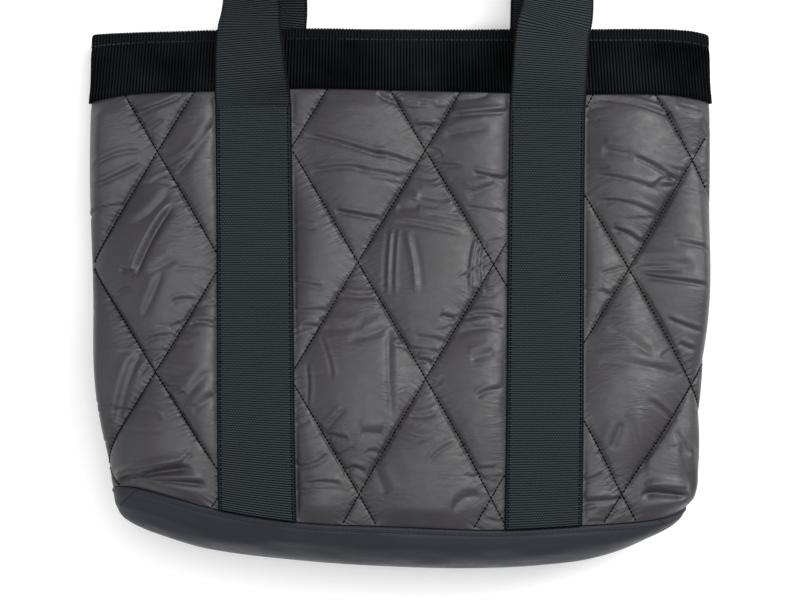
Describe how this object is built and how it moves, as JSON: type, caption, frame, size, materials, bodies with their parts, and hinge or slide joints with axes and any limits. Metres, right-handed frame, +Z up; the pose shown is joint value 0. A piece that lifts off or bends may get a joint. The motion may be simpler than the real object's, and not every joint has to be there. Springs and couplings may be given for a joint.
{
  "type": "tote bag",
  "caption": "Padded tote bag lying on its back, with diamond quilting, a corduroy band round the mouth, a plain cloth base and webbing carrying handles.",
  "frame": {"origin": "under the middle of the whole bag with its handles, on the surface it lies on", "axes": "+X to the bag's right as seen from above, +Y from the base towards the handles, +Z up, out of the front panel"},
  "size_m": [0.4134, 0.596, 0.082],
  "materials": {
    "quilted_nylon": "thin satin nylon over padding, purple grey",
    "base_nylon": "smooth plain nylon, blue black",
    "corduroy": "fine cotton corduroy with its wales running up the bag, black",
    "webbing": "matt woven webbing, charcoal"
  },
  "bodies": {
    "root": {"front_panel": "quilted_nylon", "back_panel": "quilted_nylon", "base_panel": "base_nylon", "top_band": "corduroy", "front_handle": "webbing", "back_handle": "webbing"}
  },
  "joints": []
}
